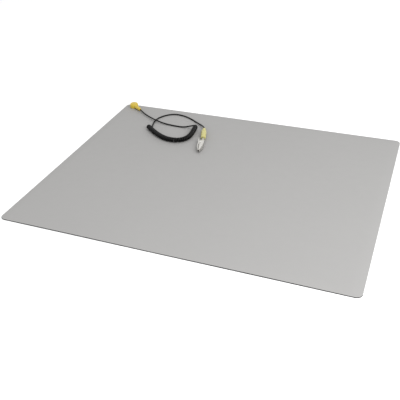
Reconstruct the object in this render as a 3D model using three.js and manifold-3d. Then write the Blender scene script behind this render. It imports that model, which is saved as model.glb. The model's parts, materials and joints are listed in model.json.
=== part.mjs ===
// An anti static bench mat: a two-layer rubber sheet with a press stud in its back left corner, and the
// curly ground lead that snaps onto the stud and ends in a banana plug and a crocodile clip.
// Units are millimetres, +Z is up. The origin is the middle of the mat's underside, +X runs along the long
// side and +Y towards the edge with the stud.

import * as THREE from 'three';
import { mergeVertices } from 'three/addons/utils/BufferGeometryUtils.js';
import Module from 'manifold-3d';

const wasm = await Module();
wasm.setup();

// Mat
const matLength = 600;
const matWidth = 500;
const topLayerThickness = 0.5;
const baseLayerThickness = 1.5;
const cornerRadius = 10;

// Press stud and the washer that clamps it from below
const studInsetLong = 21;
const studInsetShort = 12.6;
const studShankRadius = 2.4;
const studTipRadius = 1.8;
const studFlangeRadius = 6.5;
const studFlangeThickness = 0.6;
const studNeckRadius = 4.3;
const studNeckHeight = 1.1;
const studBallRadius = 5;
const studBallHeight = 3.2;
const studBallChamfer = 0.6;
const washerRadius = 6.2;
const washerThickness = 0.6;
const washerRecess = 0.1;
const pressClearance = 0.1;

// Snap head and its metal socket
const headRadius = 9.2;
const headHeight = 10.4;
const headRoof = 4.6;
const headEdgeRadius = 4.2;
const socketWall = 1.6;
const socketClearance = 0.3;
const skirtGap = 0.3;
const bossReach = 30;
const bossYaw = THREE.MathUtils.degToRad(-37.5);
const bossRootRadius = 4.6;
const bossExitRadius = 3;

// Lead
const wireRadius = 1.5;
const coilRadius = 5.2;
const jointGap = 0.3;
const layGap = 0.15;

// Banana plug
const plugYaw = THREE.MathUtils.degToRad(-72.6);
const gripRadius = 5.4;
const gripLength = 43;
const gripNoseRadius = 2.9;
const gripTaperLength = 13;
const gripShoulder = 2;
const gripFrontRadius = 4.4;
const gripFrontTaper = 6;
const plugPinRadius = 2;
const plugPinInGrip = 10;
const plugPinInSleeve = 11.5;

// Crocodile clip, lying on its side
const clipSheet = 0.5;
const sleeveLength = 13;
const sleeveWall = 0.65;
const pivotAhead = 25.5;
const pivotAside = 3.2;
const jawLean = THREE.MathUtils.degToRad(-7);
const jawLength = 29.5;
const jawTipDepth = 1.7;
const jawRootDepth = 5.7;
const jawHalfWidth = 4.6;
const jawTipHalfWidth = 2.6;
const jawSideClearance = 0.3;
const earRadius = 2.9;
const movingEarRadius = 2.7;
const tailDepth = 4.2;
const tailLip = 2.2;
const jawFullness = 1.4;
const toothPitch = 2.6;
const toothDepth = 1.1;
const toothGap = 0.3;
const throatGap = 2.6;
const throatAside = 3.4;
const throatCurve = 0.6;
const toothedLength = 23.4;
const leverLength = 20.5;
const leverRise = 7.9;
const leverFlange = 0.9;
const leverRootFlange = 1.4;
const leverRootBack = 7;
const rivetRadius = 1;
const rivetHeadRadius = 1.9;
const rivetHeadThickness = 0.55;
const runningClearance = 0.1;
const springWireRadius = 0.4;
const springTurns = 3;
const springLegLength = 10.5;
const springTailAngle = THREE.MathUtils.degToRad(-3);
const springLeverAngle = THREE.MathUtils.degToRad(19);

// Worked out from the sizes above
const matTop = baseLayerThickness + topLayerThickness;
const studX = -matLength / 2 + studInsetLong;
const studY = matWidth / 2 - studInsetShort;
const studHoleRadius = studShankRadius + pressClearance;
const washerTop = washerRecess + washerThickness;
const studTop = studFlangeThickness + studBallHeight;
const socketInnerRadius = studBallRadius + socketClearance;
const socketOuterRadius = socketInnerRadius + socketWall;
const cavityRadius = socketOuterRadius + socketClearance;
const cavityTop = headHeight - headRoof;
const bossHeight = skirtGap + bossRootRadius;
const plugHeight = layGap + gripRadius;
const sleeveInnerRadius = plugPinRadius + jointGap;
const sleeveRadius = sleeveInnerRadius + sleeveWall;
const movingHalfWidth = jawHalfWidth - clipSheet - jawSideClearance;
const rivetHoleRadius = rivetRadius + runningClearance;

// Route of the lead, chosen by hand, from the stud's axis and up from the mat's top face
const snapEndRoute = [
  [24.1, -18.5, 4.9],
  [32.6, -25.6, 4.5],
  [41.7, -33.3, 4.2],
  [55.5, -42.6, 4],
  [68.2, -50.9, 4.4],
  [79.2, -57.2, 4.95],
  [88.2, -60.3, 4.2],
  [97.3, -62.4, 3.3],
  [106.7, -63.6, 2.5],
  [119, -64.4, 1.8],
  [131.1, -65.1, 1.65],
  [140.1, -65.3, 1.65],
  [148.9, -65.3, 2.6],
  [156.2, -65.4, 4.5],
  [162.4, -65.4, 6.6],
  [167.4, -65.4, 8.15],
];
const coilRoute = [
  [172.9, -62],
  [174.3, -71],
  [175.5, -80.6],
  [176.4, -90.6],
  [176.8, -101.2],
  [176.2, -109.6],
  [173.9, -117.8],
  [169, -125.4],
  [162.3, -130.6],
  [154.7, -133.3],
  [146.3, -134],
  [136.9, -132.6],
  [126.2, -128.6],
  [114.3, -121.8],
  [100.9, -112.2],
  [90.3, -103.3],
  [81.1, -95.1],
  [77, -91.4],
];
const plugEndRoute = [
  [83.7, -89.4, 1.65],
  [82.7, -84.6, 1.65],
  [80.4, -77, 1.65],
  [78.4, -68.3, 1.65],
  [76.9, -59.3, 1.65],
  [76.4, -50.9, 1.65],
  [77.5, -42.8, 1.65],
  [80.6, -33.9, 1.65],
  [85.8, -25.2, 1.65],
  [92.3, -17.9, 1.65],
  [99.9, -12.8, 1.65],
  [108.6, -10.4, 1.65],
  [118.1, -10.6, 1.65],
  [128.6, -13.2, 1.65],
  [140, -18.2, 1.65],
  [152.2, -25.4, 1.65],
  [165, -35.2, 2.1],
  [178.2, -46.7, 3.8],
  [187.2, -55.3, 5],
  [191.2, -60.4, 5.4],
  [193.2, -64.2, 5.55],
  [194, -66.5, 5.55],
];
const plugRear = [194.2, -67.1];

const finishes = {
  greyRubber: { color: 0xb4b3b1, roughness: 0.85, metalness: 0 },
  blackRubber: { color: 0x1c1c1d, roughness: 0.8, metalness: 0 },
  yellowPlastic: { color: 0xd2c02e, roughness: 0.45, metalness: 0 },
  leadJacket: { color: 0x0d0d0f, roughness: 0.35, metalness: 0 },
  nickel: { color: 0xc9c8c6, roughness: 0.3, metalness: 1 },
};

// Booleans

function solid(geometry) {
  const bare = geometry.index ? geometry.clone() : geometry;
  bare.deleteAttribute('normal');
  bare.deleteAttribute('uv');
  const merged = mergeVertices(bare, 1e-4);
  return new wasm.Manifold(
    new wasm.Mesh({
      numProp: 3,
      vertProperties: new Float32Array(merged.attributes.position.array),
      triVerts: new Uint32Array(merged.index.array),
    }),
  );
}

function geometryOf(body) {
  const mesh = body.getMesh();
  const geometry = new THREE.BufferGeometry();
  geometry.setAttribute('position', new THREE.BufferAttribute(mesh.vertProperties, 3));
  geometry.setIndex(new THREE.BufferAttribute(mesh.triVerts, 1));
  geometry.computeVertexNormals();
  return geometry;
}

function joined(first, ...others) {
  return others.reduce((body, next) => body.add(next), first);
}

function without(first, ...others) {
  return others.reduce((body, next) => body.subtract(next), first);
}

// Shapes

// A plate of the given outline between two heights.
function plate(outline, low, high, curveSegments = 12) {
  const geometry = new THREE.ExtrudeGeometry(outline, {
    depth: high - low,
    bevelEnabled: false,
    curveSegments,
  });
  return geometry.translate(0, 0, low);
}

// An upright round bar about the Z axis.
function bar(radius, low, high, sides = 32) {
  const geometry = new THREE.CylinderGeometry(radius, radius, high - low, sides);
  return geometry.rotateX(Math.PI / 2).translate(0, 0, (low + high) / 2);
}

// A turned shape about the Z axis from [radius, height] pairs.
function turned(profile, sides = 32) {
  const points = profile.map(([radius, height]) => new THREE.Vector2(radius, height));
  return new THREE.LatheGeometry(points, sides).rotateX(Math.PI / 2);
}

function outlineOf(points) {
  return new THREE.Shape(points.map(([x, y]) => new THREE.Vector2(x, y)));
}

function roundedRectangle(length, width, radius) {
  const x = length / 2;
  const y = width / 2;
  const shape = new THREE.Shape();
  shape.moveTo(-x + radius, -y);
  shape.lineTo(x - radius, -y);
  shape.absarc(x - radius, -y + radius, radius, -Math.PI / 2, 0);
  shape.lineTo(x, y - radius);
  shape.absarc(x - radius, y - radius, radius, 0, Math.PI / 2);
  shape.lineTo(-x + radius, y);
  shape.absarc(-x + radius, y - radius, radius, Math.PI / 2, Math.PI);
  shape.lineTo(-x, -y + radius);
  shape.absarc(-x + radius, -y + radius, radius, Math.PI, Math.PI * 1.5);
  return shape;
}

// A round section swept along a smooth curve through the points.
function tube(points, radius, sides, step) {
  const path = new THREE.CatmullRomCurve3(points, false, 'centripetal');
  const section = [];
  for (let i = 0; i < sides; i += 1) {
    const angle = (i * 2 * Math.PI) / sides;
    section.push([radius * Math.cos(angle), radius * Math.sin(angle)]);
  }
  return new THREE.ExtrudeGeometry(outlineOf(section), {
    steps: Math.round(path.getLength() / step),
    bevelEnabled: false,
    extrudePath: path,
  });
}

function part(name, geometry, finish) {
  const mesh = new THREE.Mesh(geometry, new THREE.MeshStandardMaterial(finishes[finish]));
  mesh.name = name;
  return mesh;
}

// Mat: the hole for the stud goes through both layers, and the washer sits in a recess below.

function topLayer() {
  const outline = roundedRectangle(matLength, matWidth, cornerRadius);
  const hole = new THREE.Path();
  hole.absarc(studX, studY, studHoleRadius, 0, 2 * Math.PI, true);
  outline.holes.push(hole);
  return part('mat_top_layer', plate(outline, baseLayerThickness, matTop), 'greyRubber');
}

function baseLayer() {
  const outline = roundedRectangle(matLength, matWidth, cornerRadius);
  const sheet = solid(plate(outline, 0, baseLayerThickness));
  const through = bar(studHoleRadius, -1, baseLayerThickness + 1).translate(studX, studY, 0);
  const recess = bar(washerRadius + pressClearance, -1, washerTop).translate(studX, studY, 0);
  const body = without(sheet, solid(through), solid(recess));
  return part('mat_base_layer', geometryOf(body), 'blackRubber');
}

// The stud hangs by its flange on the mat's top face and is riveted into the washer.
function stud() {
  const tipBottom = -matTop + washerRecess;
  const shoulder = -matTop + washerTop;
  const profile = [
    [0, tipBottom],
    [studTipRadius, tipBottom],
    [studTipRadius, shoulder],
    [studShankRadius, shoulder],
    [studShankRadius, 0],
    [studFlangeRadius, 0],
    [studFlangeRadius, studFlangeThickness],
    [studNeckRadius, studFlangeThickness],
    [studNeckRadius, studFlangeThickness + studNeckHeight],
    [studBallRadius, studFlangeThickness + studNeckHeight + studBallChamfer],
    [studBallRadius, studTop - studBallChamfer],
    [studBallRadius - studBallChamfer, studTop],
    [0, studTop],
  ];
  return part('mat_stud', turned(profile), 'nickel');
}

function washer() {
  const hole = studTipRadius + pressClearance;
  const low = -matTop + washerRecess;
  const high = -matTop + washerTop;
  const profile = [
    [hole, low],
    [washerRadius, low],
    [washerRadius, high],
    [hole, high],
    [hole, low],
  ];
  return part('stud_washer', turned(profile), 'nickel');
}

// The socket ring slips over the stud's ball, inside the snap head.
function socket() {
  const low = studFlangeThickness + pressClearance;
  const high = cavityTop - socketClearance;
  const profile = [
    [socketInnerRadius, low],
    [socketOuterRadius, low],
    [socketOuterRadius, high],
    [socketInnerRadius, high],
    [socketInnerRadius, low],
  ];
  return part('snap_socket', turned(profile), 'nickel');
}

// The snap head is a round cap, open below, with a tapered boss for the wire.
function snapHead() {
  const edge = [];
  const edgeSteps = 8;
  for (let i = 0; i <= edgeSteps; i += 1) {
    const angle = (i / edgeSteps) * (Math.PI / 2);
    edge.push([
      headRadius - headEdgeRadius * (1 - Math.cos(angle)),
      headHeight - headEdgeRadius * (1 - Math.sin(angle)),
    ]);
  }
  const cap = solid(turned([[0, skirtGap], [headRadius, skirtGap], ...edge, [0, headHeight]], 40));
  const cone = new THREE.CylinderGeometry(bossExitRadius, bossRootRadius, bossReach, 24);
  cone.translate(0, bossReach / 2, 0).rotateZ(-Math.PI / 2).rotateZ(bossYaw).translate(0, 0, bossHeight);
  const cavity = bar(cavityRadius, skirtGap - 1, cavityTop, 40);
  const body = without(joined(cap, solid(cone)), solid(cavity));
  return part('snap_head', geometryOf(body), 'yellowPlastic');
}

// Lead: two straight wires and the curly section between them.

function wire(name, route) {
  const points = route.map(([x, y, z]) => new THREE.Vector3(x, y, z));
  const stepInDiameters = 2.5;
  return part(name, tube(points, wireRadius, 8, stepInDiameters * 2 * wireRadius), 'leadJacket');
}

function coil() {
  const height = layGap + coilRadius;
  const points = coilRoute.map(([x, y]) => new THREE.Vector3(x, y, height));
  return part('lead_coil', tube(points, coilRadius, 16, coilRadius), 'leadJacket');
}

// Banana plug, along +X from the end where the wire goes in.

function alongX(geometry) {
  return geometry.rotateY(Math.PI / 2);
}

function plugGrip() {
  const boreRadius = plugPinRadius + pressClearance;
  const boreEnd = gripLength - plugPinInGrip - pressClearance;
  const profile = [
    [0, 0],
    [gripNoseRadius, 0],
    [(gripNoseRadius + gripRadius) / 2, gripTaperLength / 2 - gripShoulder / 2],
    [gripRadius - pressClearance, gripTaperLength - gripShoulder],
    [gripRadius, gripTaperLength],
    [gripRadius, gripLength - gripFrontTaper],
    [gripFrontRadius, gripLength],
    [boreRadius, gripLength],
    [boreRadius, boreEnd],
    [0, boreEnd],
  ];
  return part('plug_grip', alongX(turned(profile, 24)), 'yellowPlastic');
}

function plugPin() {
  const low = gripLength - plugPinInGrip;
  const high = gripLength + jointGap + plugPinInSleeve;
  return part('plug_pin', alongX(bar(plugPinRadius, low, high, 20)), 'nickel');
}

// Crocodile clip: the jaws' meeting line is the X axis with the rivet at the origin, the tips are at +X,
// the fixed jaw is on the +Y side and the moving jaw with its lever on the -Y side.

// Inner edge of a jaw. The jaws nearly meet at the tip, and the gap widens into a throat at the pivot.
function innerEdge(x, side) {
  const back = (1 - x / jawLength) ** throatCurve;
  const gap = toothGap + (throatGap - toothGap) * back;
  return (side * gap) / 2 - throatAside * back;
}

// Points of the toothed edge from the tip back.
function teeth(side) {
  const points = [[jawLength, innerEdge(jawLength, side)]];
  const count = Math.floor(toothedLength / toothPitch);
  for (let i = 0; i < 2 * count; i += 1) {
    const x = jawLength - toothPitch / 2 - (i * toothPitch) / 2;
    const wave = (i % 2 === 0 ? -1 : 1) * (toothDepth / 2);
    points.push([x, wave + innerEdge(x, side)]);
  }
  return points;
}

// Outer edge of a jaw from its root at the rivet to its tip, on the +Y side.
function jawBack(side) {
  const points = [];
  const steps = 6;
  for (let i = 0; i <= steps; i += 1) {
    const share = i / steps;
    const depth = jawRootDepth + (jawTipDepth - jawRootDepth) * share;
    const bulge = jawFullness * Math.sin(Math.PI * share);
    points.push([share * jawLength, side * (depth + bulge)]);
  }
  return points;
}

// Round edge about the rivet, from one angle to another, on the side away from the jaw's back.
function ear(radius, side, startAngle, endAngle) {
  const points = [];
  const steps = 8;
  for (let i = 0; i <= steps; i += 1) {
    const angle = startAngle + (endAngle - startAngle) * (i / steps);
    points.push([radius * Math.cos(angle), -side * radius * Math.sin(angle)]);
  }
  return points;
}

// Top view of a jaw: full width at the rivet, narrow at the tip and at the tail.
function widthPlan(halfWidth, tipHalfWidth, tailX, tailHalfWidth) {
  const full = 2 * jawRootDepth;
  const back = -jawRootDepth;
  const half = [
    [tailX, tailHalfWidth],
    [back, halfWidth],
    [full, halfWidth],
    [jawLength + 1, tipHalfWidth],
  ];
  const mirrored = half.map(([x, z]) => [x, -z]).reverse();
  const geometry = plate(outlineOf([...mirrored, ...half]), -2 * leverRise, 2 * leverRise);
  return solid(geometry.rotateX(Math.PI / 2));
}

// A folded sheet channel: the outline at full width, less the same outline moved inwards.
function channel(outline, side, outerPlan, innerPlan) {
  const reach = 2 * jawHalfWidth;
  const outer = solid(plate(outlineOf(outline), -reach, reach)).intersect(outerPlan);
  const shifted = outline.map(([x, y]) => [x, y - side * clipSheet]);
  const deeper = outline.map(([x, y]) => [x, y - side * 3 * clipSheet]);
  const inner = joined(
    solid(plate(outlineOf(shifted), -reach, reach)),
    solid(plate(outlineOf(deeper), -reach, reach)),
  ).intersect(innerPlan);
  return without(outer, inner);
}

// Where the sleeve's axis starts and how it leans, seen from the jaws' frame.
function sleevePlace(geometry) {
  const back = pivotAhead - jointGap;
  geometry.rotateZ(-jawLean);
  const x = -back * Math.cos(jawLean) + pivotAside * Math.sin(jawLean);
  const y = back * Math.sin(jawLean) + pivotAside * Math.cos(jawLean);
  return geometry.translate(x, y, 0);
}

function fixedJaw() {
  const tailX = -(pivotAhead - jointGap - sleeveLength) - 1;
  const outline = [
    ...jawBack(1),
    ...teeth(1),
    ...ear(earRadius, 1, Math.PI / 4, Math.PI / 2),
    [tailX, -tailLip],
    [tailX, tailDepth],
  ];
  const outerPlan = widthPlan(jawHalfWidth, jawTipHalfWidth, tailX, sleeveRadius);
  const innerPlan = widthPlan(
    jawHalfWidth - clipSheet,
    jawTipHalfWidth - clipSheet,
    tailX + 2 * clipSheet,
    sleeveRadius - clipSheet,
  );
  const shell = channel(counterClockwise(outline), 1, outerPlan, innerPlan);
  const overlap = 2;
  const sleeve = solid(sleevePlace(alongX(bar(sleeveRadius, 0, sleeveLength + overlap, 24))));
  const bore = solid(sleevePlace(alongX(bar(sleeveInnerRadius, -1, sleeveLength + overlap + 1, 24))));
  const rivetHole = solid(bar(rivetHoleRadius, -2 * jawHalfWidth, 2 * jawHalfWidth, 24));
  return part('clip_fixed_jaw', geometryOf(without(joined(shell, sleeve), bore, rivetHole)), 'nickel');
}

function counterClockwise(points) {
  const area = THREE.ShapeUtils.area(points.map(([x, y]) => new THREE.Vector2(x, y)));
  return area < 0 ? [...points].reverse() : points;
}

function movingJaw() {
  const leverEndX = -leverLength;
  const outline = [
    ...jawBack(-1),
    ...teeth(-1),
    ...ear(movingEarRadius, -1, 0, Math.PI),
    [-leverRootBack, -jawRootDepth + leverRootFlange],
    [leverEndX, -leverRise + leverFlange],
    [leverEndX, -leverRise],
  ];
  const tip = jawTipHalfWidth - clipSheet / 2;
  const outerPlan = widthPlan(movingHalfWidth, tip, leverEndX - clipSheet, movingHalfWidth);
  const innerPlan = widthPlan(
    movingHalfWidth - clipSheet,
    tip - clipSheet,
    leverEndX - 2 * clipSheet,
    movingHalfWidth - clipSheet,
  );
  const shell = channel(counterClockwise(outline), -1, outerPlan, innerPlan);
  const rivetHole = solid(bar(rivetHoleRadius, -2 * jawHalfWidth, 2 * jawHalfWidth, 24));
  return part('clip_moving_jaw', geometryOf(without(shell, rivetHole)), 'nickel');
}

function rivet() {
  const outside = jawHalfWidth + pressClearance;
  const end = outside + rivetHeadThickness;
  const profile = [
    [0, -end],
    [rivetHeadRadius - rivetHeadThickness, -end],
    [rivetHeadRadius, -outside],
    [rivetRadius, -outside],
    [rivetRadius, outside],
    [rivetHeadRadius, outside],
    [rivetHeadRadius - rivetHeadThickness, end],
    [0, end],
  ];
  return part('clip_pin', turned(profile, 24), 'nickel');
}

// The spring's turns lie round the rivet, and its two legs push the lever and the tail apart.
function spring() {
  const innerRadius = rivetRadius + jointGap;
  const outerRadius = innerRadius + 2 * springWireRadius;
  const half = springTurns * springWireRadius;
  const turns = turned(
    [
      [innerRadius, -half],
      [outerRadius, -half],
      [outerRadius, half],
      [innerRadius, half],
      [innerRadius, -half],
    ],
    24,
  );
  const middle = innerRadius + springWireRadius;
  const leg = (side, angle) => {
    const round = new THREE.CylinderGeometry(springWireRadius, springWireRadius, springLegLength, 8);
    round.rotateZ(Math.PI / 2).translate(-springLegLength / 2, side * middle, 0).rotateZ(angle);
    return solid(round.translate(0, 0, side * (half - springWireRadius)));
  };
  const towardTail = leg(1, springTailAngle);
  const towardLever = leg(-1, springLeverAngle);
  return part('clip_spring', geometryOf(joined(solid(turns), towardTail, towardLever)), 'nickel');
}

// Assembly: the lead, plug and clip keep their place from the stud.

function clip() {
  const group = new THREE.Group();
  group.add(fixedJaw(), movingJaw(), rivet(), spring());
  group.position.set(gripLength + pivotAhead, -pivotAside, 0);
  group.rotation.z = jawLean;
  return group;
}

function plug() {
  const group = new THREE.Group();
  group.add(plugGrip(), plugPin(), clip());
  group.position.set(plugRear[0], plugRear[1], plugHeight);
  group.rotation.z = plugYaw;
  return group;
}

function atStud() {
  const group = new THREE.Group();
  group.add(
    stud(),
    washer(),
    socket(),
    snapHead(),
    wire('lead_snap_end', snapEndRoute),
    coil(),
    wire('lead_plug_end', plugEndRoute),
    plug(),
  );
  group.position.set(studX, studY, matTop);
  return group;
}

const benchMat = new THREE.Group();
benchMat.add(topLayer(), baseLayer(), atStud());

export default benchMat;
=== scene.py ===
"""Looks of an anti static bench mat and its ground lead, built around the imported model.

Lengths are in metres, apart from routes and profiles, which are in millimetres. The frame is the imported
model's own: the origin is the middle of the mat's underside, +X runs along the long side and +Y towards the
edge with the press stud.
"""

import json
import math
import random

import bmesh
import bpy
from bpy.props import FloatProperty, FloatVectorProperty, IntProperty, PointerProperty
from mathutils import Matrix, Vector


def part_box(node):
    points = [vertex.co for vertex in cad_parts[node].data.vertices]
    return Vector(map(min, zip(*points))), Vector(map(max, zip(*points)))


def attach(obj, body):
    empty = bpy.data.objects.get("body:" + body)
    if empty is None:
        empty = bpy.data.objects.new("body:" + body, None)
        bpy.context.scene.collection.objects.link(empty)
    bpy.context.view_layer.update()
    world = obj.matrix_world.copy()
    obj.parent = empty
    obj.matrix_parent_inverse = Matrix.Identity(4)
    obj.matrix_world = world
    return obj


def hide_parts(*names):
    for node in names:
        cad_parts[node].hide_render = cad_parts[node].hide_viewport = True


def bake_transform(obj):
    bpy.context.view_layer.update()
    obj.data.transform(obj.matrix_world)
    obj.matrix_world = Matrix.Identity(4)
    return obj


bl_info = {
    "name": "Anti static bench mat",
    "version": (1, 0, 0),
    "blender": (4, 5, 0),
    "location": "3D View > Sidebar > Bench mat",
    "description": "Builds a rubber bench mat with its press stud, curly ground lead, plug and clip",
    "category": "Object",
}

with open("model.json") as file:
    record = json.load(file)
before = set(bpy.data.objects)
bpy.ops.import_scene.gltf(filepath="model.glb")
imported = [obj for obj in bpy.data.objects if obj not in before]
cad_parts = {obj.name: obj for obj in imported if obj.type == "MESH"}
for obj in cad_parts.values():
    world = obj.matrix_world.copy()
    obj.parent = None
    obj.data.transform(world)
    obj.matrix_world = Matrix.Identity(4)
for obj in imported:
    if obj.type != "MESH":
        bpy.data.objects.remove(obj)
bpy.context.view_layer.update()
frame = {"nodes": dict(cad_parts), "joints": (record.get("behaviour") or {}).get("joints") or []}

MM = 0.001
ROOT_BODY = "mat_and_lead"
LEVER_BODY = "clip_lever"

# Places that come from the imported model
MAT_LOW, MAT_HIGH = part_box("mat_base_layer")[0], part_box("mat_top_layer")[1]
MAT_TOP = MAT_HIGH.z
LAYER_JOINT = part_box("mat_top_layer")[0].z
STUD_LOW, STUD_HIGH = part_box("mat_stud")
STUD_AXIS = Vector(((STUD_LOW.x + STUD_HIGH.x) / 2, (STUD_LOW.y + STUD_HIGH.y) / 2, MAT_TOP))
HINGE = next(j for j in frame["joints"] if j["name"] == "jaw_hinge")
RIVET = Vector(HINGE["pos_m"])

# Route of the lead in millimetres, from the stud's axis and up from the mat's top face
SNAP_END_ROUTE = (
    (24.1, -18.5, 4.9),
    (32.6, -25.6, 4.5),
    (41.7, -33.3, 4.2),
    (55.5, -42.6, 4),
    (68.2, -50.9, 4.4),
    (79.2, -57.2, 4.95),
    (88.2, -60.3, 4.2),
    (97.3, -62.4, 3.3),
    (106.7, -63.6, 2.5),
    (119, -64.4, 1.8),
    (131.1, -65.1, 1.65),
    (140.1, -65.3, 1.65),
    (148.9, -65.3, 2.6),
    (156.2, -65.4, 4.5),
    (162.4, -65.4, 6.6),
    (167.4, -65.4, 8.15),
)
COIL_ROUTE = (
    (172.9, -62),
    (174.3, -71),
    (175.5, -80.6),
    (176.4, -90.6),
    (176.8, -101.2),
    (176.2, -109.6),
    (173.9, -117.8),
    (169, -125.4),
    (162.3, -130.6),
    (154.7, -133.3),
    (146.3, -134),
    (136.9, -132.6),
    (126.2, -128.6),
    (114.3, -121.8),
    (100.9, -112.2),
    (90.3, -103.3),
    (81.1, -95.1),
    (77, -91.4),
)
PLUG_END_ROUTE = (
    (83.7, -89.4, 1.65),
    (82.7, -84.6, 1.65),
    (80.4, -77, 1.65),
    (78.4, -68.3, 1.65),
    (76.9, -59.3, 1.65),
    (76.4, -50.9, 1.65),
    (77.5, -42.8, 1.65),
    (80.6, -33.9, 1.65),
    (85.8, -25.2, 1.65),
    (92.3, -17.9, 1.65),
    (99.9, -12.8, 1.65),
    (108.6, -10.4, 1.65),
    (118.1, -10.6, 1.65),
    (128.6, -13.2, 1.65),
    (140, -18.2, 1.65),
    (152.2, -25.4, 1.65),
    (165, -35.2, 2.1),
    (178.2, -46.7, 3.8),
    (187.2, -55.3, 5),
    (191.2, -60.4, 5.4),
    (193.2, -64.2, 5.55),
    (194, -66.5, 5.55),
)
COIL_HEIGHT = 5.35
WIRE_IN_BOSS = 8
WIRE_IN_GRIP = 24

# Where the plug starts, and which way the plug, the head's boss and the clip point
PLUG_REAR = STUD_AXIS + Vector((194.2, -67.1, 5.55)) * MM
PLUG_YAW = math.radians(-72.6)
BOSS_YAW = math.radians(-37.5)
JAW_YAW = PLUG_YAW + math.radians(-7)

# The clip's spring, in millimetres
SPRING_WIRE = 0.4
SPRING_TURNS = 3

# The camera of the photograph, and the large soft light
CAMERA_PLACE = (0.3355, -0.9540, 0.5883)
CAMERA_TURN = (57.843, 2.062, 22.408)
CAMERA_SHIFT = 0.0624
LAMP_PLACE = Vector((0.9, -0.6, 1.0))
LAMP_SIZE = 1.0


# Settings that a user would change


class MatSettings(bpy.types.PropertyGroup):
    corner_radius: FloatProperty(
        name="Corner radius", description="Rounding of the four corners", default=0.010, subtype="DISTANCE"
    )
    edge_radius: FloatProperty(
        name="Edge radius", description="Softness of the cut edges", default=0.00016, subtype="DISTANCE"
    )
    lift: FloatProperty(
        name="Edge lift", description="How far the front edge stands off the bench", default=0.0006,
        subtype="DISTANCE",
    )
    face_colour: FloatVectorProperty(
        name="Face", description="Colour of the upper layer", default=(0.316, 0.312, 0.307), subtype="COLOR"
    )
    back_colour: FloatVectorProperty(
        name="Back", description="Colour of the lower layer", default=(0.012, 0.012, 0.013), subtype="COLOR"
    )


class LeadSettings(bpy.types.PropertyGroup):
    wire_diameter: FloatProperty(
        name="Wire", description="Outer diameter of the wire", default=0.003, subtype="DISTANCE"
    )
    coil_diameter: FloatProperty(
        name="Coil", description="Outer diameter of the curly section", default=0.0104, subtype="DISTANCE"
    )
    points_per_turn: IntProperty(
        name="Points per turn", description="How finely each turn of the coil is drawn", default=20
    )
    jacket_colour: FloatVectorProperty(
        name="Jacket",
        description="Colour of the wire's jacket",
        default=(0.0012, 0.0012, 0.0014),
        subtype="COLOR",
    )


class FittingSettings(bpy.types.PropertyGroup):
    head_colour: FloatVectorProperty(
        name="Snap head",
        description="Colour of the snap head",
        default=(0.54, 0.39, 0.028),
        subtype="COLOR",
    )
    grip_colour: FloatVectorProperty(
        name="Plug grip",
        description="Colour of the plug's grip",
        default=(0.48, 0.445, 0.16),
        subtype="COLOR",
    )
    metal_colour: FloatVectorProperty(
        name="Metal", description="Colour of the plated metal", default=(0.70, 0.69, 0.66), subtype="COLOR"
    )
    sheet_edge: FloatProperty(
        name="Sheet edge",
        description="Rounding of the clip's sheet edges",
        default=0.00009,
        subtype="DISTANCE",
    )


class StageSettings(bpy.types.PropertyGroup):
    focal_length: FloatProperty(
        name="Focal length", description="Camera lens, in millimetres", default=57.08
    )
    key_power: FloatProperty(
        name="Key light", description="Power of the large soft light", default=17.4, unit="POWER"
    )
    sky_strength: FloatProperty(
        name="Sky", description="Strength of the even light from all round", default=0.96
    )
    floor_colour: FloatVectorProperty(
        name="Floor", description="Colour of the floor", default=(0.97, 0.97, 0.97), subtype="COLOR"
    )


# Small helpers for meshes


def settings():
    return bpy.context.scene.bench_mat


def from_stud(x, y, z):
    """A point given in millimetres from the stud's axis and the mat's top face."""
    return STUD_AXIS + Vector((x, y, z)) * MM


def show(name, mesh, body, slot, material, *nodes):
    """Link a finished mesh or curve as a piece of the object."""
    piece = bpy.data.objects.new(name, mesh)
    bpy.context.scene.collection.objects.link(piece)
    mesh.materials.clear()
    mesh.materials.append(material)
    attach(piece, body)
    if nodes:
        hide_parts(*nodes)
    return piece


def mesh_of(bm, name):
    """A mesh of what bm holds, which is freed."""
    mesh = bpy.data.meshes.new(name)
    bm.to_mesh(mesh)
    bm.free()
    return mesh


def smooth_by_angle(mesh, degrees=35):
    mesh.polygons.foreach_set("use_smooth", [True] * len(mesh.polygons))
    mesh.set_sharp_from_angle(angle=math.radians(degrees))


def turned(profile, steps=64):
    """Spin a profile of (radius, height) pairs in millimetres round the Z axis into a closed solid."""
    bm = bmesh.new()
    verts = [bm.verts.new((radius * MM, 0, height * MM)) for radius, height in profile]
    edges = [bm.edges.new(pair) for pair in zip(verts, verts[1:])]
    bmesh.ops.spin(
        bm,
        geom=verts + edges,
        cent=(0, 0, 0),
        axis=(0, 0, 1),
        angle=2 * math.pi,
        steps=steps,
        use_merge=True,
    )
    bmesh.ops.remove_doubles(bm, verts=bm.verts[:], dist=1e-7)
    bmesh.ops.recalc_face_normals(bm, faces=bm.faces[:])
    return bm


def place(bm, matrix):
    """Move what bm holds, and hand bm back."""
    bmesh.ops.transform(bm, matrix=matrix, verts=bm.verts[:])
    return bm


def arc(centre, radius, start, end, steps):
    """Points on an arc, from one angle to another in degrees, as (radius, height) pairs."""
    points = []
    for i in range(steps + 1):
        angle = math.radians(start + (end - start) * i / steps)
        points.append((centre[0] + radius * math.cos(angle), centre[1] + radius * math.sin(angle)))
    return points


def finished(bm, name, modifiers):
    """The mesh of bm after the modifiers, each given as (type, {property: value})."""
    source = bpy.data.objects.new(name, mesh_of(bm, name))
    bpy.context.scene.collection.objects.link(source)
    for kind, values in modifiers:
        modifier = source.modifiers.new(kind.lower(), kind)
        for key, value in values.items():
            setattr(modifier, key, value)
    graph = bpy.context.evaluated_depsgraph_get()
    mesh = bpy.data.meshes.new_from_object(source.evaluated_get(graph))
    mesh.name = name
    bpy.data.objects.remove(source)
    return mesh


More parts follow.
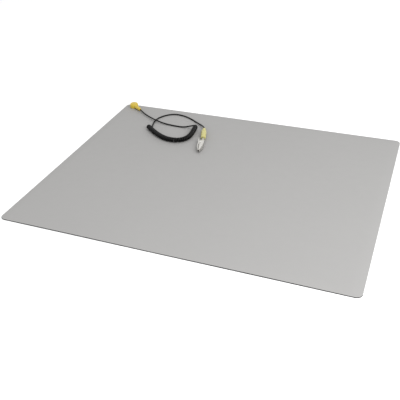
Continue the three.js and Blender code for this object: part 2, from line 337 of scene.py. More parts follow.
def cutter(bm, name):
    """A helper object for a Boolean modifier, which the caller removes afterwards."""
    tool = bpy.data.objects.new(name, mesh_of(bm, name))
    bpy.context.scene.collection.objects.link(tool)
    return tool


def smooth_line(points, step):
    """Evenly spaced points on a centripetal Catmull-Rom curve through the given points."""
    ends = [2 * points[0] - points[1], *points, 2 * points[-1] - points[-2]]
    dense = []
    pieces = 24
    for a, b, c, d in zip(ends, ends[1:], ends[2:], ends[3:]):
        knots = [0.0]
        for p, q in ((a, b), (b, c), (c, d)):
            knots.append(knots[-1] + math.sqrt((q - p).length))
        for i in range(pieces):
            t = knots[1] + (knots[2] - knots[1]) * i / pieces
            ab = a.lerp(b, (t - knots[0]) / (knots[1] - knots[0]))
            bc = b.lerp(c, (t - knots[1]) / (knots[2] - knots[1]))
            cd = c.lerp(d, (t - knots[2]) / (knots[3] - knots[2]))
            abc = ab.lerp(bc, (t - knots[0]) / (knots[2] - knots[0]))
            bcd = bc.lerp(cd, (t - knots[1]) / (knots[3] - knots[1]))
            dense.append(abc.lerp(bcd, (t - knots[1]) / (knots[2] - knots[1])))
    dense.append(points[-1].copy())
    return evenly(dense, step)


def evenly(line, step):
    """The same line with its points a step apart, the step being fitted to the whole length."""
    lengths = [0.0]
    for p, q in zip(line, line[1:]):
        lengths.append(lengths[-1] + (q - p).length)
    count = max(2, round(lengths[-1] / step))
    spaced = []
    i = 0
    for k in range(count + 1):
        want = lengths[-1] * k / count
        while i < len(line) - 2 and lengths[i + 1] < want:
            i += 1
        share = (want - lengths[i]) / max(lengths[i + 1] - lengths[i], 1e-12)
        spaced.append(line[i].lerp(line[i + 1], share))
    return spaced


# Small helpers for materials


def add_node(tree, kind, **values):
    node = tree.nodes.new(kind)
    for key, value in values.items():
        setattr(node, key, value)
    return node


def feed(tree, node, **inputs):
    """Set or link the inputs of a node: an output socket is linked, anything else is a value."""
    for name, value in inputs.items():
        socket = node.inputs[name.replace("_", " ")]
        if isinstance(value, bpy.types.NodeSocket):
            tree.links.new(value, socket)
        else:
            socket.default_value = value
    return node


def math_node(tree, operation, first, second=0.5, clamp=False):
    node = add_node(tree, "ShaderNodeMath", operation=operation, use_clamp=clamp)
    for socket, value in zip(node.inputs, (first, second)):
        if isinstance(value, bpy.types.NodeSocket):
            tree.links.new(value, socket)
        else:
            socket.default_value = value
    return node.outputs[0]


def mix_colour(tree, factor, first, second, blend="MIX"):
    node = add_node(tree, "ShaderNodeMix", data_type="RGBA", blend_type=blend)
    for socket, value in zip((node.inputs[0], node.inputs[6], node.inputs[7]), (factor, first, second)):
        if isinstance(value, bpy.types.NodeSocket):
            tree.links.new(value, socket)
        else:
            socket.default_value = value
    return node.outputs[2]


def spread(tree, value, low, high):
    """Map a 0 to 1 value onto a range."""
    node = add_node(tree, "ShaderNodeMapRange")
    feed(tree, node, Value=value, To_Min=low, To_Max=high)
    return node.outputs[0]


def noise(tree, vector, scale, detail=3.0, roughness=0.55):
    node = add_node(tree, "ShaderNodeTexNoise")
    feed(tree, node, Vector=vector, Scale=scale, Detail=detail, Roughness=roughness)
    return node.outputs["Fac"]


def group(name, inputs, outputs):
    """A new shader node group with named sockets, and its input and output nodes."""
    tree = bpy.data.node_groups.new(name, "ShaderNodeTree")
    for socket, kind in inputs:
        tree.interface.new_socket(socket, in_out="INPUT", socket_type=kind)
    for socket, kind in outputs:
        tree.interface.new_socket(socket, in_out="OUTPUT", socket_type=kind)
    return tree, tree.nodes.new("NodeGroupInput"), tree.nodes.new("NodeGroupOutput")


FLOAT = "NodeSocketFloat"
COLOUR = "NodeSocketColor"


def grain_group():
    """Calendered or moulded rubber and plastic: fine pebbles, specks and a slow drift of tone."""
    name = "Surface grain"
    if name in bpy.data.node_groups:
        return bpy.data.node_groups[name]
    tree, given, out = group(
        name,
        [
            ("Colour", COLOUR),
            ("Speck Colour", COLOUR),
            ("Pebbles Per Metre", FLOAT),
            ("Drift", FLOAT),
            ("Specks", FLOAT),
            ("Low Roughness", FLOAT),
            ("High Roughness", FLOAT),
        ],
        [("Colour", COLOUR), ("Roughness", FLOAT), ("Height", FLOAT)],
    )
    where = tree.nodes.new("ShaderNodeTexCoord").outputs["Object"]
    per_metre = given.outputs["Pebbles Per Metre"]
    pebbles = add_node(tree, "ShaderNodeTexVoronoi", feature="SMOOTH_F1")
    feed(tree, pebbles, Vector=where, Scale=per_metre, Smoothness=0.6)
    fine = noise(tree, where, math_node(tree, "MULTIPLY", per_metre, 2.3))
    slow = noise(tree, where, 7.0, detail=2.0)
    medium = noise(tree, where, 60.0, detail=4.0)
    speck = noise(tree, where, math_node(tree, "MULTIPLY", per_metre, 0.8), detail=1.0)
    high = add_node(tree, "ShaderNodeMapRange")
    feed(tree, high, Value=speck, From_Min=0.66, From_Max=0.74)
    tone = math_node(tree, "MULTIPLY_ADD", slow, 0.65)
    tree.links.new(math_node(tree, "MULTIPLY", medium, 0.35), tone.node.inputs[2])
    shade = (0.86, 0.86, 0.87, 1)
    darker = mix_colour(tree, 1.0, given.outputs["Colour"], shade, "MULTIPLY")
    drifted = mix_colour(
        tree, math_node(tree, "MULTIPLY", tone, given.outputs["Drift"]), given.outputs["Colour"], darker
    )
    specked = mix_colour(
        tree,
        math_node(tree, "MULTIPLY", high.outputs[0], given.outputs["Specks"]),
        drifted,
        given.outputs["Speck Colour"],
    )
    rough = add_node(tree, "ShaderNodeMapRange")
    smoothest, roughest = given.outputs["Low Roughness"], given.outputs["High Roughness"]
    feed(tree, rough, Value=medium, To_Min=smoothest, To_Max=roughest)
    height = math_node(tree, "MULTIPLY_ADD", pebbles.outputs["Distance"], -0.8)
    tree.links.new(math_node(tree, "MULTIPLY", fine, 0.5), height.node.inputs[2])
    feed(tree, out, Colour=specked, Roughness=rough.outputs[0], Height=height)
    return tree


def edge_group():
    """A mask that is 1 on worn edges and 0 on open faces."""
    name = "Edge wear"
    if name in bpy.data.node_groups:
        return bpy.data.node_groups[name]
    tree, given, out = group(name, [("Radius", FLOAT), ("Strength", FLOAT)], [("Mask", FLOAT)])
    rounded = add_node(tree, "ShaderNodeBevel", samples=6)
    feed(tree, rounded, Radius=given.outputs["Radius"])
    flat = tree.nodes.new("ShaderNodeNewGeometry")
    alike = add_node(tree, "ShaderNodeVectorMath", operation="DOT_PRODUCT")
    tree.links.new(rounded.outputs[0], alike.inputs[0])
    tree.links.new(flat.outputs["Normal"], alike.inputs[1])
    unlike = math_node(tree, "SUBTRACT", 1.0, alike.outputs["Value"])
    where = tree.nodes.new("ShaderNodeTexCoord").outputs["Object"]
    broken = spread(tree, noise(tree, where, 900.0), 0.3, 1.4)
    strong = math_node(tree, "MULTIPLY", unlike, given.outputs["Strength"])
    feed(tree, out, Mask=math_node(tree, "MULTIPLY", strong, broken, clamp=True))
    return tree


def dust_group():
    """A thin film of dust on what faces up."""
    name = "Dust"
    if name in bpy.data.node_groups:
        return bpy.data.node_groups[name]
    tree, given, out = group(name, [("Amount", FLOAT)], [("Mask", FLOAT)])
    normal = tree.nodes.new("ShaderNodeNewGeometry").outputs["Normal"]
    axes = tree.nodes.new("ShaderNodeSeparateXYZ")
    tree.links.new(normal, axes.inputs[0])
    upward = math_node(tree, "MAXIMUM", axes.outputs["Z"], 0.0)
    where = tree.nodes.new("ShaderNodeTexCoord").outputs["Object"]
    patchy = spread(tree, noise(tree, where, 320.0, detail=6.0), 0.2, 1.0)
    settled = math_node(tree, "MULTIPLY", upward, patchy)
    feed(tree, out, Mask=math_node(tree, "MULTIPLY", settled, given.outputs["Amount"], clamp=True))
    return tree


def new_material(name):
    """A material, its tree and its Principled shader."""
    material = bpy.data.materials.new(name)
    material.use_nodes = True
    return material, material.node_tree, material.node_tree.nodes["Principled BSDF"]


def use_group(tree, source, **inputs):
    """The outputs of a node group that is put into a material."""
    node = add_node(tree, "ShaderNodeGroup", node_tree=source)
    feed(tree, node, **inputs)
    return node.outputs


def bumped(tree, shader, height, distance):
    """Give the shader a relief of this height, in metres."""
    bump = add_node(tree, "ShaderNodeBump")
    feed(tree, bump, Height=height, Distance=distance, Strength=1.0)
    tree.links.new(bump.outputs[0], shader.inputs["Normal"])


def rubber(name, colour, speck, *, pebbles, drift, specks, roughness, depth):
    """Rubber or plastic with a grained skin: pebbles to the metre, and their depth in metres."""
    material, tree, shader = new_material(name)
    grain = use_group(
        tree,
        grain_group(),
        Colour=(*colour, 1),
        Speck_Colour=(*speck, 1),
        Pebbles_Per_Metre=pebbles,
        Drift=drift,
        Specks=specks,
        Low_Roughness=roughness[0],
        High_Roughness=roughness[1],
    )
    feed(tree, shader, Base_Color=grain["Colour"], Roughness=grain["Roughness"])
    bumped(tree, shader, grain["Height"], depth)
    return material


def face_rubber():
    """The mat's grey face, matt, with paler specks."""
    colour = settings().mat.face_colour
    paler = [min(1.0, c * 1.25) for c in colour]
    material = rubber(
        "grey rubber",
        colour,
        paler,
        pebbles=1100,
        drift=0.28,
        specks=0.16,
        roughness=(0.62, 0.78),
        depth=0.00006,
    )
    material.node_tree.nodes["Principled BSDF"].inputs["Specular IOR Level"].default_value = 0.35
    return material


def back_rubber():
    """The mat's black back, a little coarser than the face."""
    return rubber(
        "black rubber",
        settings().mat.back_colour,
        (0.03, 0.03, 0.03),
        pebbles=900,
        drift=0.5,
        specks=0.3,
        roughness=(0.6, 0.8),
        depth=0.00008,
    )


def jacket():
    """The wire's smooth black jacket, with a little dust."""
    material = rubber(
        "lead jacket",
        settings().lead.jacket_colour,
        (0.008, 0.008, 0.008),
        pebbles=1500,
        drift=0.4,
        specks=0.2,
        roughness=(0.34, 0.46),
        depth=0.00001,
    )
    tree = material.node_tree
    shader = tree.nodes["Principled BSDF"]
    clean = shader.inputs["Base Color"].links[0].from_socket
    dust = use_group(tree, dust_group(), Amount=0.006)["Mask"]
    shader.inputs["Specular IOR Level"].default_value = 0.18
    dust_colour = (0.35, 0.34, 0.32, 1)
    tree.links.new(mix_colour(tree, dust, clean, dust_colour), shader.inputs["Base Color"])
    return material


def moulded(name, colour):
    """Moulded yellow plastic, paler where its edges are rubbed, with a trace of dust."""
    shade = [c * 0.72 for c in colour]
    material = rubber(
        name, colour, shade, pebbles=1300, drift=0.6, specks=0.25, roughness=(0.36, 0.48), depth=0.00002
    )
    tree = material.node_tree
    shader = tree.nodes["Principled BSDF"]
    clean = shader.inputs["Base Color"].links[0].from_socket
    worn = use_group(tree, edge_group(), Radius=0.0005, Strength=2.2)["Mask"]
    paler = [min(1.0, 0.25 + 0.75 * c) for c in colour]
    rubbed = mix_colour(tree, worn, clean, (*paler, 1))
    dust = use_group(tree, dust_group(), Amount=0.04)["Mask"]
    dust_colour = (0.6, 0.58, 0.52, 1)
    tree.links.new(mix_colour(tree, dust, rubbed, dust_colour), shader.inputs["Base Color"])
    shader.inputs["Subsurface Weight"].default_value = 0.12
    shader.inputs["Subsurface Scale"].default_value = 0.0008
    shader.inputs["Subsurface Radius"].default_value = (1.0, 0.7, 0.2)
    return material


def plated():
    """Nickel plate: fine tumbled grain, faint warm tarnish, brighter worn edges, and painted shade, near
    black, in its folds and gaps.
    """
    material, tree, shader = new_material("nickel plate")
    colour = settings().fitting.metal_colour
    where = tree.nodes.new("ShaderNodeTexCoord").outputs["Object"]
    tarnish = add_node(tree, "ShaderNodeMapRange")
    feed(tree, tarnish, Value=noise(tree, where, 240.0, detail=6.0), From_Min=0.45, From_Max=0.75)
    warm = [colour[0] * 0.8, colour[1] * 0.74, colour[2] * 0.64]
    body = mix_colour(
        tree, math_node(tree, "MULTIPLY", tarnish.outputs[0], 0.45), (*colour, 1), (*warm, 1)
    )
    worn = use_group(tree, edge_group(), Radius=0.0002, Strength=1.5)["Mask"]
    bright = [min(1.0, c * 1.18) for c in colour]
    # Painted shade: a near black colour mixed in where ambient occlusion finds folds, gaps and hollows,
    # standing in for the shade inside them
    open_air = add_node(tree, "ShaderNodeAmbientOcclusion", samples=8)
    feed(tree, open_air, Distance=0.006)
    painted_shade_mask = add_node(tree, "ShaderNodeMapRange")
    feed(tree, painted_shade_mask, Value=open_air.outputs["AO"], From_Min=0.25, From_Max=0.7, To_Min=1.0, To_Max=0.0)
    painted_shade_colour = (0.012, 0.011, 0.013, 1)
    body = mix_colour(tree, painted_shade_mask.outputs[0], body, painted_shade_colour)
    fine = noise(tree, where, 2600.0, detail=4.0)
    feed(
        tree,
        shader,
        Base_Color=mix_colour(tree, worn, body, (*bright, 1)),
        Roughness=spread(tree, fine, 0.2, 0.42),
        Metallic=1.0,
    )
    bumped(tree, shader, noise(tree, where, 1400.0, detail=5.0), 0.00001)
    return material


def nickel():
    """The plated metal, one material for all the metal pieces."""
    return bpy.data.materials.get("nickel plate") or plated()


# Operators, one for each piece or group of like pieces


class BENCHMAT_OT_stage(bpy.types.Operator):
    """Camera at the photograph's angle, soft studio light and a pale floor"""

    bl_idname = "benchmat.stage"
    bl_label = "Stage"

    def execute(self, context):
        choice = settings().stage
        self.camera(context, choice)
        self.floor(context, choice)
        self.lights(context, choice)
        context.scene.view_settings.view_transform = "Standard"
        return {"FINISHED"}

    def camera(self, context, choice):
        lens = bpy.data.cameras.new("camera")
        lens.lens = choice.focal_length
        lens.shift_x = CAMERA_SHIFT
        lens.clip_start = 0.01
        camera = bpy.data.objects.new("camera", lens)
        camera.location = CAMERA_PLACE
        camera.rotation_euler = [math.radians(angle) for angle in CAMERA_TURN]
        context.scene.collection.objects.link(camera)
        context.scene.camera = camera

    def floor(self, context, choice):
        half = 5.0
        bm = bmesh.new()
        bmesh.ops.create_grid(bm, x_segments=1, y_segments=1, size=half)
        floor = bpy.data.objects.new("floor", mesh_of(bm, "floor"))
        context.scene.collection.objects.link(floor)
        material, tree, shader = new_material("floor")
        feed(tree, shader, Base_Color=(*choice.floor_colour, 1), Roughness=0.9, Specular_IOR_Level=0.1)
        floor.data.materials.append(material)

    def lights(self, context, choice):
        world = bpy.data.worlds.new("studio")
        world.use_nodes = True
        sky = world.node_tree.nodes["Background"]
        sky.inputs["Color"].default_value = (1, 1, 1, 1)
        sky.inputs["Strength"].default_value = choice.sky_strength
        context.scene.world = world
        light = bpy.data.lights.new("key", "AREA")
        light.size = LAMP_SIZE
        light.energy = choice.key_power
        lamp = bpy.data.objects.new("key", light)
        lamp.location = LAMP_PLACE
        lamp.rotation_euler = (-LAMP_PLACE).to_track_quat("-Z", "Y").to_euler()
        context.scene.collection.objects.link(lamp)


class BENCHMAT_OT_mat(bpy.types.Operator):
    """The mat's grey face and black back, two bonded layers with a hole for the stud"""

    bl_idname = "benchmat.mat"
    bl_label = "Mat layers"

    def execute(self, context):
        choice = settings().mat
        hole, recess, past = 2.5, 6.3, 5
        under = -MAT_TOP / MM - 1
        ledge = (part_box("stud_washer")[1].z - MAT_TOP) / MM
        through = [(0, -past), (hole, -past), (hole, past), (0, past)]
        stepped = [(0, under), (recess, under), (recess, ledge), (hole, ledge), (hole, past), (0, past)]
        face = self.layer("mat_face", LAYER_JOINT, MAT_TOP, through, choice)
        back = self.layer("mat_back", 0.0, LAYER_JOINT, stepped, choice)
        show("mat_face", face, ROOT_BODY, "grey_rubber", face_rubber(), "mat_top_layer")
        show("mat_back", back, ROOT_BODY, "black_rubber", back_rubber(), "mat_base_layer")
        return {"FINISHED"}

    def layer(self, name, low, high, hole_profile, choice):
        """One layer: a rounded sheet with soft edges, cut for the stud and gently lifted at the front."""
        half = Vector((MAT_HIGH.x, MAT_HIGH.y, 1.0))
        square_edge = math.radians(60)
        bm = bmesh.new()
        bmesh.ops.create_grid(bm, x_segments=1, y_segments=1, size=1.0)
        bmesh.ops.scale(bm, vec=half, verts=bm.verts[:])
        bmesh.ops.bevel(
            bm,
            geom=bm.verts[:],
            offset=choice.corner_radius,
            offset_type="OFFSET",
            affect="VERTICES",
            segments=20,
            profile=0.5,
            material=-1,
        )
        bmesh.ops.translate(bm, vec=(0, 0, low), verts=bm.verts[:])
        raised = bmesh.ops.extrude_face_region(bm, geom=bm.faces[:])["geom"]
        top = [v for v in raised if isinstance(v, bmesh.types.BMVert)]
        bmesh.ops.translate(bm, vec=(0, 0, high - low), verts=top)
        bmesh.ops.recalc_face_normals(bm, faces=bm.faces[:])
        rim = [e for e in bm.edges if e.calc_face_angle(0) > square_edge]
        bmesh.ops.bevel(
            bm,
            geom=rim,
            offset=choice.edge_radius,
            offset_type="OFFSET",
            affect="EDGES",
            segments=3,
            profile=0.5,
            material=-1,
        )
        punch = cutter(place(turned(hole_profile), Matrix.Translation(STUD_AXIS)), "punch")
        cut = {"operation": "DIFFERENCE", "solver": "EXACT", "object": punch}
        mesh = finished(bm, name, [("BOOLEAN", cut)])
        bpy.data.objects.remove(punch)
        bm = bmesh.new()
        bm.from_mesh(mesh)
        self.divide(bm)
        for vert in bm.verts:
            vert.co.z += self.lift(vert.co, choice.lift)
        bm.to_mesh(mesh)
        bm.free()
        smooth_by_angle(mesh, 50)
        return mesh

    def divide(self, bm):
        """Cut the sheet into cells so that it can bend."""
        cell = 0.02
        for axis, reach in ((0, MAT_HIGH.x), (1, MAT_HIGH.y)):
            normal = [0.0, 0.0, 0.0]
            normal[axis] = 1.0
            for i in range(1, round(2 * reach / cell)):
                spot = [0.0, 0.0, 0.0]
                spot[axis] = -reach + i * cell
                everything = bm.verts[:] + bm.edges[:] + bm.faces[:]
                bmesh.ops.bisect_plane(bm, geom=everything, dist=1e-7, plane_co=spot, plane_no=normal)

    def lift(self, point, height):
        """The front edge stands off the bench in two shallow waves, as rubber cut from a roll does."""
        strip = 0.09
        crests = ((-0.17, 0.11), (0.13, 0.13))
        edge = max(0.0, 1.0 - (point.y - MAT_LOW.y) / strip) ** 2
        waves = 0.0
        for centre, width in crests:
            away = (point.x - centre) / width
            waves += math.exp(-away * away)
        return height * edge * waves


class BENCHMAT_OT_stud(bpy.types.Operator):
    """The press stud, its washer and the socket ring that grips it"""

    bl_idname = "benchmat.stud"
    bl_label = "Press stud"

    def execute(self, context):
        stud = [(0, -1.9), (1.5, -1.9), (1.8, -1.7), (1.8, -1.3), (2.4, -1.3), (2.4, 0), (6.3, 0)]
        stud += [(6.5, 0.2), (6.5, 0.4), (6.3, 0.6), (4.6, 0.6), (4.3, 0.9), (4.3, 1.7), (4.9, 2.2)]
        stud += [(5.0, 2.6), (5.0, 3.2), (4.8, 3.6), (4.4, 3.8), (1.6, 3.8), (1.3, 3.5), (0, 3.5)]
        washer = [(1.9, -1.9), (5.9, -1.9), (6.2, -1.7), (6.2, -1.4), (6.1, -1.3), (1.9, -1.3), (1.9, -1.9)]
        socket = [(5.3, 0.8), (5.5, 0.7), (6.7, 0.7), (6.9, 0.9), (6.9, 5.1), (6.7, 5.3), (5.6, 5.3)]
        socket += [(5.4, 5.1), (5.5, 4.2), (5.3, 2.6), (5.5, 1.6), (5.3, 0.8)]
        for name, profile, node in (
            ("press_stud", stud, "mat_stud"),
            ("press_washer", washer, "stud_washer"),
            ("socket_ring", socket, "snap_socket"),
        ):
            mesh = mesh_of(place(turned(profile), Matrix.Translation(STUD_AXIS)), name)
            smooth_by_angle(mesh)
            show(name, mesh, ROOT_BODY, "nickel", nickel(), node)
        return {"FINISHED"}


class BENCHMAT_OT_snap_head(bpy.types.Operator):
    """The yellow moulded snap head with its ribbed boss"""

    bl_idname = "benchmat.snap_head"
    bl_label = "Snap head"

    def execute(self, context):
        cap = [(0, 0.3), (8.8, 0.3), (9.1, 0.6), (9.2, 1.2), *arc((5.0, 6.2), 4.2, 0, 90, 14)]
        cap += [(4.6, 10.4), (4.3, 10.2), (0, 10.35)]
        root, tip, reach, groove = 4.6, 3.0, 30.0, 0.4
        boss = [(0, 0), (root, 0), (4.0, 12.0)]
        for start in (13.2, 16.4, 19.6, 22.8):
            radius = root + (tip - root) * start / reach
            boss += [(radius, start), (radius, start + 1.8)]
            boss += [(radius - groove, start + 2.1), (radius - groove, start + 2.9)]
        boss += [(3.2, 26.2), (tip, 29.4), (2.6, reach), (0, reach)]
        cavity = [(0, -1), (7.2, -1), (7.2, 5.8), (0, 5.8)]
        boss_height, voxel, smoothings = 4.9, 0.0002, 3
        turn = Matrix.Rotation(BOSS_YAW, 4, "Z") @ Matrix.Rotation(math.pi / 2, 4, "Y")
        lie = Matrix.Translation(Vector((0, 0, boss_height)) * MM) @ turn
        arm = cutter(place(turned(boss), lie), "boss")
        hollow = cutter(turned(cavity), "cavity")
        join = {"operation": "UNION", "solver": "EXACT", "object": arm}
        cut = {"operation": "DIFFERENCE", "solver": "EXACT", "object": hollow}
        soften = {"mode": "VOXEL", "voxel_size": voxel}
        steps = [("BOOLEAN", join), ("BOOLEAN", cut), ("REMESH", soften)]
        mesh = finished(turned(cap), "snap_head_cap", steps)
        bpy.data.objects.remove(arm)
        bpy.data.objects.remove(hollow)
        bm = bmesh.new()
        bm.from_mesh(mesh)
        for _ in range(smoothings):
            bmesh.ops.smooth_vert(
                bm, verts=bm.verts[:], factor=0.5, use_axis_x=True, use_axis_y=True, use_axis_z=True
            )
        place(bm, Matrix.Translation(STUD_AXIS))
        bm.to_mesh(mesh)
        bm.free()
        mesh.polygons.foreach_set("use_smooth", [True] * len(mesh.polygons))
        material = moulded("yellow plastic", settings().fitting.head_colour)
        show("snap_head_cap", mesh, ROOT_BODY, "yellow_plastic", material, "snap_head")
        return {"FINISHED"}


class BENCHMAT_OT_plug(bpy.types.Operator):
    """The banana plug: a moulded grip and its pin"""

    bl_idname = "benchmat.plug"
    bl_label = "Plug"

    def execute(self, context):
        lie = Matrix.Translation(PLUG_REAR) @ Matrix.Rotation(PLUG_YAW, 4, "Z") @ Matrix.Rotation(
            math.pi / 2, 4, "Y"
        )
        nose, flare, rib, groove = 2.9, 0.15, 0.12, 0.3
        wide, front, bore, bore_end = 5.4, 43.0, 2.1, 33.1
        grip = [(0, 0.1), (2.4, 0.1), (2.8, 0.5)]
        for start in (1.6, 4.2, 6.8):
            radius = nose + start * flare
            grip += [(radius, start), (radius + rib, start + 1.3)]
            grip += [(radius - groove, start + 1.5), (radius - groove, start + 2.3)]
        grip += [(4.2, 9.4), (4.75, 11.0), (5.2, 12.4), (wide, 14.2), (wide, 29.6), (5.1, 29.9)]
        grip += [(5.1, 30.7), (wide, 31.0), (wide, 36.6), (5.2, 38.2), (4.8, 41.2), (4.4, 42.7)]
        grip += [(4.1, front), (bore, front), (bore, bore_end), (0, bore_end)]
        thick = 2.0
        pin = [(0, 33.2), (1.8, 33.2), (thick, 33.5), (thick, 53.8), (1.7, 54.6), (0, 54.8)]
        material = moulded("pale yellow plastic", settings().fitting.grip_colour)
        for name, profile, slot, finish, node in (
            ("plug_body", grip, "yellow_plastic", material, "plug_grip"),
            ("banana_pin", pin, "nickel", nickel(), "plug_pin"),
        ):
            mesh = mesh_of(place(turned(profile), lie), name)
            smooth_by_angle(mesh, 40)
            show(name, mesh, ROOT_BODY, slot, finish, node)
        return {"FINISHED"}


class BENCHMAT_OT_clip(bpy.types.Operator):
    """The crocodile clip: both jaws with softened sheet edges, the rivet and the wound spring"""

    bl_idname = "benchmat.clip"
    bl_label = "Clip"

    def execute(self, context):
        self.jaw("clip_sleeve_jaw", "clip_fixed_jaw", ROOT_BODY)
        self.jaw("clip_lever_jaw", "clip_moving_jaw", LEVER_BODY)
        self.rivet()
        self.spring()
        return {"FINISHED"}

    def jaw(self, name, node, body):
        """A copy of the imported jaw, its loose triangles merged and its sheet edges rounded."""
        bm = bmesh.new()
        bm.from_mesh(frame["nodes"][node].data)
        bmesh.ops.remove_doubles(bm, verts=bm.verts[:], dist=2e-6)
        bmesh.ops.dissolve_degenerate(bm, edges=bm.edges[:], dist=1e-6)
        bmesh.ops.dissolve_limit(bm, angle_limit=math.radians(1), verts=bm.verts[:], edges=bm.edges[:])
        bmesh.ops.recalc_face_normals(bm, faces=bm.faces[:])
        rounding = {
            "width": settings().fitting.sheet_edge,
            "segments": 2,
            "limit_method": "ANGLE",
            "angle_limit": math.radians(32),
            "use_clamp_overlap": True,
        }
        mesh = finished(bm, name, [("BEVEL", rounding)])
        smooth_by_angle(mesh, 40)
        show(name, mesh, body, "nickel", nickel(), node)

    def rivet(self):
        """The rivet that the jaws turn on, with a domed head at each end."""
        shank, head, under_head = 1.0, 1.9, 4.7
        half = [(0, -5.25), (1.0, -5.22), (1.5, -5.1), (1.8, -4.9), (head, -under_head)]
        half.append((shank, -under_head))
        profile = half + [(radius, -height) for radius, height in reversed(half)]
        mesh = mesh_of(place(turned(profile, 40), Matrix.Translation(RIVET)), "clip_rivet")
        smooth_by_angle(mesh)
        show("clip_rivet", mesh, ROOT_BODY, "nickel", nickel(), "clip_pin")

    def spring(self):
        """Three turns round the rivet and two legs, which follow the tail and the lever."""
        middle, leg = 1.75, 10
        tail_angle, lever_angle = math.radians(-3), math.radians(19)
        points = [self.leg_point(leg, middle, tail_angle, 1, 1)]
        points.append(self.leg_point(leg / 2, middle, tail_angle, 1, 1))
        start = math.pi / 2 + tail_angle
        sweep = SPRING_TURNS * 2 * math.pi - math.pi + (lever_angle - tail_angle)
        steps = 16 * SPRING_TURNS
        for i in range(steps + 1):
            share = i / steps
            angle = start - share * sweep
            height = (SPRING_TURNS - 1) * SPRING_WIRE * (1 - 2 * share)
            points.append(Vector((middle * math.cos(angle), middle * math.sin(angle), height)))
        points.append(self.leg_point(leg / 2, middle, lever_angle, -1, -1))
        points.append(self.leg_point(leg, middle, lever_angle, -1, -1))
        lean = Matrix.Rotation(JAW_YAW, 4, "Z")
        line = [RIVET + lean @ (point * MM) for point in points]
        curve = tube_curve("clip_spring_wire", line, SPRING_WIRE * MM, 4)
        source = bpy.data.objects.new("clip_spring_wire", curve)
        bpy.context.scene.collection.objects.link(source)
        graph = bpy.context.evaluated_depsgraph_get()
        mesh = bpy.data.meshes.new_from_object(source.evaluated_get(graph))
        bpy.data.objects.remove(source)
        mesh.polygons.foreach_set("use_smooth", [True] * len(mesh.polygons))
        mesh.materials.clear()
        mesh.materials.append(nickel())
        piece = bpy.data.objects.new("clip_spring_wire", mesh)
        bpy.context.scene.collection.objects.link(piece)
        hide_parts("clip_spring")
        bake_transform(piece)

    def leg_point(self, out, middle, angle, side, level):
        """A point on one of the spring's legs, out from the rivet towards the tail end."""
        flat = Matrix.Rotation(angle, 4, "Z") @ Vector((-out, side * middle, 0))
        return flat + Vector((0, 0, level * (SPRING_TURNS - 1) * SPRING_WIRE))


def tube_curve(name, line, radius, resolution):
    """A curve of one open spline with a round section and closed ends."""
    curve = bpy.data.curves.new(name, "CURVE")
    curve.dimensions = "3D"
    curve.bevel_depth = radius
    curve.bevel_resolution = resolution
    curve.use_fill_caps = True
    spline = curve.splines.new("POLY")
    spline.points.add(len(line) - 1)
    for slot_point, point in zip(spline.points, line):
        slot_point.co = (*point, 1)
    spline.use_smooth = True
    return curve


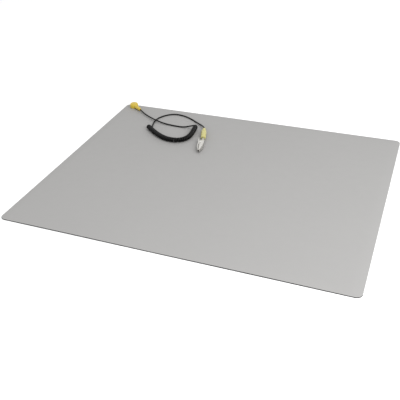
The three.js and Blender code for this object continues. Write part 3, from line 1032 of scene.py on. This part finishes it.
class BENCHMAT_OT_lead(bpy.types.Operator):
    """The whole ground lead as one cord: straight wire, wound coil, straight wire"""

    bl_idname = "benchmat.lead"
    bl_label = "Ground lead"

    def execute(self, context):
        choice = settings().lead
        radius = choice.wire_diameter / 2
        step = 2.5 * MM
        boss = self.inside(SNAP_END_ROUTE[0], SNAP_END_ROUTE[1], WIRE_IN_BOSS)
        grip = self.inside(PLUG_END_ROUTE[-1], PLUG_END_ROUTE[-2], WIRE_IN_GRIP)
        snap_end = smooth_line([from_stud(*boss), *[from_stud(*p) for p in SNAP_END_ROUTE]], step)
        plug_end = smooth_line([*[from_stud(*p) for p in PLUG_END_ROUTE], from_stud(*grip)], step)
        line = snap_end + self.turns(choice) + plug_end
        curve = tube_curve("ground_lead", line, radius, 3)
        nodes = ("lead_snap_end", "lead_coil", "lead_plug_end")
        lead = show("ground_lead", curve, ROOT_BODY, "lead_jacket", jacket(), *nodes)
        on_the_lead = ["plug_body", "banana_pin", "clip_rivet", "clip_spring_wire"]
        on_the_lead += ["clip_sleeve_jaw", "clip_lever_jaw"]
        return {"FINISHED"}

    def inside(self, end, before, depth):
        """A point that runs the wire on into the moulding at its end, in millimetres."""
        ahead = (Vector(end) - Vector(before)).normalized()
        ahead.z = 0
        return Vector(end) + ahead.normalized() * depth

    def turns(self, choice):
        """The coil's wire: each turn touches the next on the inside of the bow and opens on the outside."""
        wire = choice.wire_diameter
        winding = (choice.coil_diameter - wire) / 2
        fine_step, margin, tightest, play = 0.5 * MM, 3, 0.3, 0.04
        pitch = 1.02 * wire
        middle = smooth_line([from_stud(x, y, COIL_HEIGHT) for x, y in COIL_ROUTE], fine_step)
        middle = middle[margin:-margin]
        speeds = []
        for i in range(1, len(middle) - 1):
            before = middle[i] - middle[i - 1]
            after = middle[i + 1] - middle[i]
            bend = before.angle(after, 0.0) / after.length
            tight = min(winding * bend, tightest)
            speeds.append((1 - tight) / pitch)
        speeds = [speeds[0], *speeds, speeds[-1]]
        angles = [0.0]
        for p, q, speed in zip(middle, middle[1:], speeds):
            angles.append(angles[-1] + (q - p).length * speed)
        whole = math.floor(angles[-1]) + 0.5
        angles = [2 * math.pi * angle * whole / angles[-1] for angle in angles]
        chance = random.Random(7)
        count = round(whole * choice.points_per_turn)
        drift = [chance.uniform(-1, 1) for _ in range(int(whole) + 3)]
        up = Vector((0, 0, 1))
        line = []
        i = 0
        for k in range(count + 1):
            angle = angles[-1] * k / count
            while i < len(angles) - 2 and angles[i + 1] < angle:
                i += 1
            share = (angle - angles[i]) / max(angles[i + 1] - angles[i], 1e-9)
            centre = middle[i].lerp(middle[i + 1], share)
            along = (middle[i + 1] - middle[i]).normalized()
            side = up.cross(along)
            turn = angle / (2 * math.pi)
            slack = drift[int(turn)] + (drift[int(turn) + 1] - drift[int(turn)]) * (turn % 1)
            reach = winding - (play + play * slack) * MM
            line.append(centre + reach * (math.cos(angle) * up + math.sin(angle) * side))
        return line


class BENCHMAT_PT_panel(bpy.types.Panel):
    """Lists the bench mat's operators in the sidebar"""

    bl_idname = "BENCHMAT_PT_panel"
    bl_label = "Bench mat"
    bl_space_type = "VIEW_3D"
    bl_region_type = "UI"
    bl_category = "Bench mat"

    def draw(self, context):
        for operator in OPERATORS:
            self.layout.operator(operator.bl_idname)


class BenchMatSettings(bpy.types.PropertyGroup):
    mat: PointerProperty(name="Mat", description="Sizes and colours of the mat", type=MatSettings)
    lead: PointerProperty(name="Lead", description="Sizes and colours of the lead", type=LeadSettings)
    fitting: PointerProperty(
        name="Fittings", description="Colours of the head, plug and clip", type=FittingSettings
    )
    stage: PointerProperty(name="Stage", description="Camera, light and floor", type=StageSettings)


OPERATORS = (
    BENCHMAT_OT_stage,
    BENCHMAT_OT_mat,
    BENCHMAT_OT_stud,
    BENCHMAT_OT_snap_head,
    BENCHMAT_OT_plug,
    BENCHMAT_OT_clip,
    BENCHMAT_OT_lead,
)
CLASSES = (
    MatSettings,
    LeadSettings,
    FittingSettings,
    StageSettings,
    BenchMatSettings,
    *OPERATORS,
    BENCHMAT_PT_panel,
)


def register():
    for cls in CLASSES:
        bpy.utils.register_class(cls)
    bpy.types.Scene.bench_mat = PointerProperty(type=BenchMatSettings)


def unregister():
    del bpy.types.Scene.bench_mat
    for cls in reversed(CLASSES):
        bpy.utils.unregister_class(cls)


def main():
    register()
    bpy.ops.benchmat.stage()
    bpy.ops.benchmat.mat()
    bpy.ops.benchmat.stud()
    bpy.ops.benchmat.snap_head()
    bpy.ops.benchmat.plug()
    bpy.ops.benchmat.clip()
    bpy.ops.benchmat.lead()


if __name__ == "__main__":
    main()
